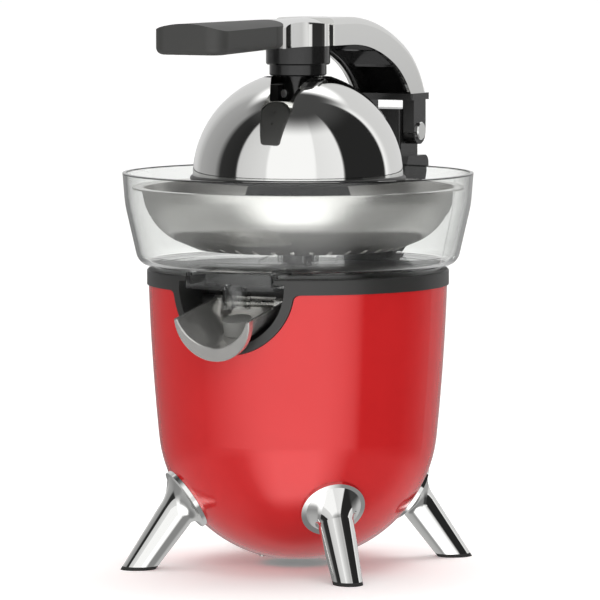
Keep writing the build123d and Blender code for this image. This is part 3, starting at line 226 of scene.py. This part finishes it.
# lacquered ABS: moulded, sprayed and polished, so a deep red under a clear coat with a slight orange peel
redLacquer = {"colour": "#d9292b", "deep": "#d22527", "cloudMm": 30.0, "flake": 0.18, "roughness": 0.09,
              "ior": 1.5, "coatRoughness": 0.03, "peelMm": 3.5, "peelDepthMm": 0.02, "peelStrength": 0.02}


def makeRedLacquer(s):
    material, tree, shader = newMaterial("lacqueredAbs", Metallic=s["flake"], Roughness=s["roughness"],
                                         IOR=s["ior"], Specular_IOR_Level=0.0, Coat_Weight=1.0,
                                         Coat_Roughness=s["coatRoughness"], Coat_IOR=s["ior"])
    place = addNode(tree, "ShaderNodeTexCoord").outputs["Object"]
    cloud = addNode(tree, "ShaderNodeTexNoise", {"Vector": place, "Scale": perMm(s["cloudMm"]),
                                                 "Detail": 2.0})
    tint = addNode(tree, "ShaderNodeMix", {"Factor": cloud.outputs["Fac"], "A": fromHex(s["colour"]),
                                           "B": fromHex(s["deep"])}, data_type="RGBA")
    tree.links.new(tint.outputs["Result"], shader.inputs["Base Color"])
    peel = addNode(tree, "ShaderNodeTexNoise", {"Vector": place, "Scale": perMm(s["peelMm"])})
    bump = addNode(tree, "ShaderNodeBump", {"Height": peel.outputs["Fac"], "Strength": s["peelStrength"],
                                            "Distance": s["peelDepthMm"] * mm})
    tree.links.new(bump.outputs["Normal"], shader.inputs["Coat Normal"])
    return material


# moulded plastics and rubbers: a fine grain breaks the shine, and handling leaves wide dull and pale areas
moulded = {"ior": 1.53, "wearMm": 22.0, "grainDepthMm": 0.05, "grainStrength": 0.12, "grainRoughness": 0.6}
# satin ABS, against a spark-textured mould: a dull broken shine
blackAbs = {"colour": "#2b2b2a", "pale": "#333332", "grainMm": 0.7, "rough": (0.34, 0.46)}
# soft-touch coat, sprayed on: almost no shine
softTouch = {"colour": "#373736", "pale": "#3f3f3d", "grainMm": 0.6, "rough": (0.5, 0.62)}
# moulded black rubber: matt
footRubber = {"colour": "#232322", "pale": "#2c2c2b", "grainMm": 0.9, "rough": (0.7, 0.85)}
# gloss ABS: a soft highlight
reamerAbs = {"colour": "#1d1d1d", "pale": "#242424", "grainMm": 0.8, "rough": (0.2, 0.3)}
# grey silicone rubber: half matt
padRubber = {"colour": "#8b8b88", "pale": "#959592", "grainMm": 0.9, "rough": (0.45, 0.6)}
# polished ABS, against a mirror-finished mould: sharp highlights on near black
polishedAbs = {"colour": "#1a1a1a", "pale": "#202020", "grainMm": 1.4, "rough": (0.1, 0.18)}
# natural nylon: milky grey, waxy shine
greyNylon = {"colour": "#c9c8c2", "pale": "#d4d3ce", "grainMm": 0.8, "rough": (0.4, 0.5)}


def makeMoulded(name, s):
    material, tree, shader = newMaterial(name, IOR=moulded["ior"])
    place = addNode(tree, "ShaderNodeTexCoord").outputs["Object"]
    grain = addNode(tree, "ShaderNodeTexNoise", {"Vector": place, "Scale": perMm(s["grainMm"]), "Detail": 3.0,
                                                 "Roughness": moulded["grainRoughness"]})
    wear = addNode(tree, "ShaderNodeTexNoise", {"Vector": place, "Scale": perMm(moulded["wearMm"]),
                                                "Detail": 3.0})
    tint = addNode(tree, "ShaderNodeMix", {"Factor": wear.outputs["Fac"], "A": fromHex(s["colour"]),
                                           "B": fromHex(s["pale"])}, data_type="RGBA")
    dull = addNode(tree, "ShaderNodeMapRange", {"Value": wear.outputs["Fac"], "To Min": s["rough"][0],
                                                "To Max": s["rough"][1]})
    bump = addNode(tree, "ShaderNodeBump", {"Height": grain.outputs["Fac"],
                                            "Strength": moulded["grainStrength"],
                                            "Distance": moulded["grainDepthMm"] * mm})
    tree.links.new(tint.outputs["Result"], shader.inputs["Base Color"])
    tree.links.new(dull.outputs["Result"], shader.inputs["Roughness"])
    tree.links.new(bump.outputs["Normal"], shader.inputs["Normal"])
    return material


# metals: one colour, with wipe or tool marks that show as changes of gloss
noiseSpan = (0.3, 0.7)  # the part of a noise's range that it mostly fills
# chrome plate on a polished casting: a mirror with faint wipe marks
chromePlate = {"colour": "#e9e9e7", "rough": (0.025, 0.07), "smearMm": 14.0}
# steel turned on a lathe: grey, with a soft shine
turnedSteel = {"colour": "#b5b4b0", "rough": (0.22, 0.34), "smearMm": 3.0}
# bronze pressed from powder: dull gold
sinteredBronze = {"colour": "#b98a4a", "rough": (0.35, 0.5), "smearMm": 1.2}
# blackened screw steel: dark and oily
blackScrew = {"colour": "#4a4a49", "rough": (0.35, 0.5), "smearMm": 1.5}
# stainless sheet with a satin finish: blurred bright bands
satinTrough = {"colour": "#c9c8c5", "rough": (0.13, 0.2), "smearMm": 8.0, "metallic": 0.75}
# zinc plate: pale and frosty
zincScrew = {"colour": "#e4e4e2", "rough": (0.3, 0.42), "smearMm": 1.0, "metallic": 0.6}
# enamelled copper wire: warm brown gloss
windingWire = {"colour": "#b3592c", "rough": (0.25, 0.4), "smearMm": 1.0}


def makeMetal(name, s):
    material, tree, shader = newMaterial(name, Base_Color=fromHex(s["colour"]),
                                         Metallic=s.get("metallic", 1.0))
    place = addNode(tree, "ShaderNodeTexCoord").outputs["Object"]
    smear = addNode(tree, "ShaderNodeTexNoise", {"Vector": place, "Scale": perMm(s["smearMm"]),
                                                 "Detail": 4.0})
    dull = addNode(tree, "ShaderNodeMapRange", {"Value": smear.outputs["Fac"], "From Min": noiseSpan[0],
                                                "From Max": noiseSpan[1], "To Min": s["rough"][0],
                                                "To Max": s["rough"][1]})
    tree.links.new(dull.outputs["Result"], shader.inputs["Roughness"])
    return material


# stainless sheet, spun on a lathe: fine rings round the axis, drawn at 0.5 mm so that they show
spunSteel = {"colour": "#f4f3f0", "metallic": 0.8, "anisotropic": 0.4, "rough": (0.22, 0.27),
             "ringMm": 0.5, "ringDepthMm": 0.004, "ringStrength": 0.012}


def makeSpunSteel(s):
    material, tree, shader = newMaterial("spunStainless", Base_Color=fromHex(s["colour"]),
                                         Metallic=s["metallic"], Anisotropic=s["anisotropic"])
    place = addNode(tree, "ShaderNodeTexCoord").outputs["Object"]
    split = addNode(tree, "ShaderNodeSeparateXYZ", {"Vector": place})
    flat = addNode(tree, "ShaderNodeCombineXYZ", {"X": split.outputs["X"], "Y": split.outputs["Y"]})
    radius = addNode(tree, "ShaderNodeVectorMath", {0: flat.outputs[0]}, operation="LENGTH")
    rings = addNode(tree, "ShaderNodeCombineXYZ", {"X": radius.outputs["Value"], "Z": split.outputs["Z"]})
    lines = addNode(tree, "ShaderNodeTexNoise", {"Vector": rings.outputs[0], "Scale": perMm(s["ringMm"]),
                                                 "Detail": 2.0})
    dull = addNode(tree, "ShaderNodeMapRange", {"Value": lines.outputs["Fac"], "From Min": noiseSpan[0],
                                                "From Max": noiseSpan[1], "To Min": s["rough"][0],
                                                "To Max": s["rough"][1]})
    bump = addNode(tree, "ShaderNodeBump", {"Height": lines.outputs["Fac"], "Strength": s["ringStrength"],
                                            "Distance": s["ringDepthMm"] * mm})
    tree.links.new(dull.outputs["Result"], shader.inputs["Roughness"])
    tree.links.new(bump.outputs["Normal"], shader.inputs["Normal"])
    return material


# clear SAN, injection moulded: clear as glass with faint flow marks, a painted dark line along the rim
# standing for the shade that the rim's refraction gives, and a flat floor through which the black deck shows
clearSan = {"colour": "#f4f5f4", "ior": 1.38, "flowMm": 35.0, "rough": (0.0, 0.03), "rim": "#5f605f",
            "rimMm": (1.1, 0.7), "floorMm": 179.6, "floorLevel": 0.8, "floorShow": 0.35}


def makeClearSan(s):
    material, tree, shader = newMaterial("clearSan", Transmission_Weight=1.0, IOR=s["ior"])
    coord = addNode(tree, "ShaderNodeTexCoord")
    place = coord.outputs["Object"]
    flow = addNode(tree, "ShaderNodeTexNoise", {"Vector": place, "Scale": perMm(s["flowMm"]), "Detail": 2.0})
    dull = addNode(tree, "ShaderNodeMapRange", {"Value": flow.outputs["Fac"], "To Min": s["rough"][0],
                                                "To Max": s["rough"][1]})
    tree.links.new(dull.outputs["Result"], shader.inputs["Roughness"])
    # painted rim shade: a dark grey band, by height below the bowl's top, standing for the shade that the
    # rim's refraction gives
    split = addNode(tree, "ShaderNodeSeparateXYZ", {"Vector": place})
    top = max(corner[2] for corner in nodes["juice_bowl"].bound_box)
    edge = addNode(tree, "ShaderNodeMapRange", {"Value": split.outputs["Z"],
                                                "From Min": top - s["rimMm"][0] * mm,
                                                "From Max": top - s["rimMm"][1] * mm})
    tint = addNode(tree, "ShaderNodeMix", {"Factor": edge.outputs["Result"], "A": fromHex(s["colour"]),
                                           "B": fromHex(s["rim"])}, data_type="RGBA")
    tree.links.new(tint.outputs["Result"], shader.inputs["Base Color"])
    # floor: level faces low in the bowl
    facing = addNode(tree, "ShaderNodeSeparateXYZ", {"Vector": coord.outputs["Normal"]})
    level = addNode(tree, "ShaderNodeMath", {0: facing.outputs["Z"]}, operation="ABSOLUTE")
    flat = addNode(tree, "ShaderNodeMath", {0: level.outputs[0], 1: s["floorLevel"]},
                   operation="GREATER_THAN")
    low = addNode(tree, "ShaderNodeMath", {0: split.outputs["Z"], 1: s["floorMm"] * mm},
                  operation="LESS_THAN")
    floor = addNode(tree, "ShaderNodeMath", {0: flat.outputs[0], 1: low.outputs[0]}, operation="MULTIPLY")
    alpha = addNode(tree, "ShaderNodeMapRange", {"Value": floor.outputs[0], "To Min": 1.0,
                                                 "To Max": s["floorShow"]})
    tree.links.new(alpha.outputs["Result"], shader.inputs["Alpha"])
    return material


# one finish for each of the record's material slots
finishes = {
    "red_enamel": makeRedLacquer(redLacquer),
    "black_plastic": makeMoulded("satinAbs", blackAbs),
    "soft_grip": makeMoulded("softTouchCoat", softTouch),
    "chrome": makeMetal("chromePlate", chromePlate),
    "rubber": makeMoulded("rubber", footRubber),
    "clear_plastic": makeClearSan(clearSan),
    "strainer_steel": makeSpunSteel(spunSteel),
    "steel": makeMetal("turnedSteel", turnedSteel),
    "bronze": makeMetal("sinteredBronze", sinteredBronze),
    "copper_winding": makeMetal("enamelledWire", windingWire),
    "reamer_plastic": makeMoulded("glossAbs", reamerAbs),
    "grey_nylon": makeMoulded("nylon", greyNylon),
}
# pieces whose finish differs from the rest of their slot
ownFinish = {
    "spout_trough": makeMetal("satinStainless", satinTrough),
    "drip_pad": makeMoulded("siliconeRubber", padRubber),
    "grip_screws": makeMetal("blackenedSteel", blackScrew),
    "neck_screw": makeMetal("zincPlate", zincScrew),
}
hubGloss = makeMoulded("polishedAbs", polishedAbs)
for name in ("hub_collar", "hub_neck", "arm_core", "rear_tower"):
    ownFinish[name] = hubGloss
for row in frame["record"]["subparts"]:
    mesh = nodes[row["node"]].data
    mesh.materials.clear()
    mesh.materials.append(ownFinish.get(row["node"], finishes[row["material_slot"]]))
print("finishes on every node")


# wire spring under the reamer's spindle: a coil from its foot on the gear up to its head, inside the CAD
# spring's box, in place of the CAD spring
returnSpring = {"wireMm": 0.8, "turns": 3, "stepsPerTurn": 28, "sides": 12}


def makeReturnSpring(s):
    low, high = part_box("return_spring")
    wire = s["wireMm"] * mm / 2
    foot = low.z + wire
    head = high.z - wire
    radius = high.x - wire
    steps = s["turns"] * s["stepsPerTurn"]
    bm = bmesh.new()
    standing = Matrix.Translation((radius, 0, foot)) @ Matrix.Rotation(pi / 2, 4, "X")
    ring = bmesh.ops.create_circle(bm, segments=s["sides"], radius=wire, matrix=standing)
    edges = list({edge for vert in ring["verts"] for edge in vert.link_edges})
    bmesh.ops.spin(bm, geom=ring["verts"] + edges, cent=(0, 0, 0), axis=(0, 0, 1), angle=2 * pi * s["turns"],
                   dvec=(0, 0, (head - foot) / steps), steps=steps, use_duplicate=False)
    bmesh.ops.holes_fill(bm, edges=bm.edges, sides=s["sides"])
    bmesh.ops.recalc_face_normals(bm, faces=bm.faces)
    mesh = bpy.data.meshes.new("returnSpring")
    bm.to_mesh(mesh)
    bm.free()
    mesh.shade_smooth()
    mesh.materials.append(finishes["steel"])
    spring = bpy.data.objects.new("returnSpring", mesh)
    scene.collection.objects.link(spring)
    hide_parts("return_spring")
    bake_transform(spring)


makeReturnSpring(returnSpring)
print("spring made")
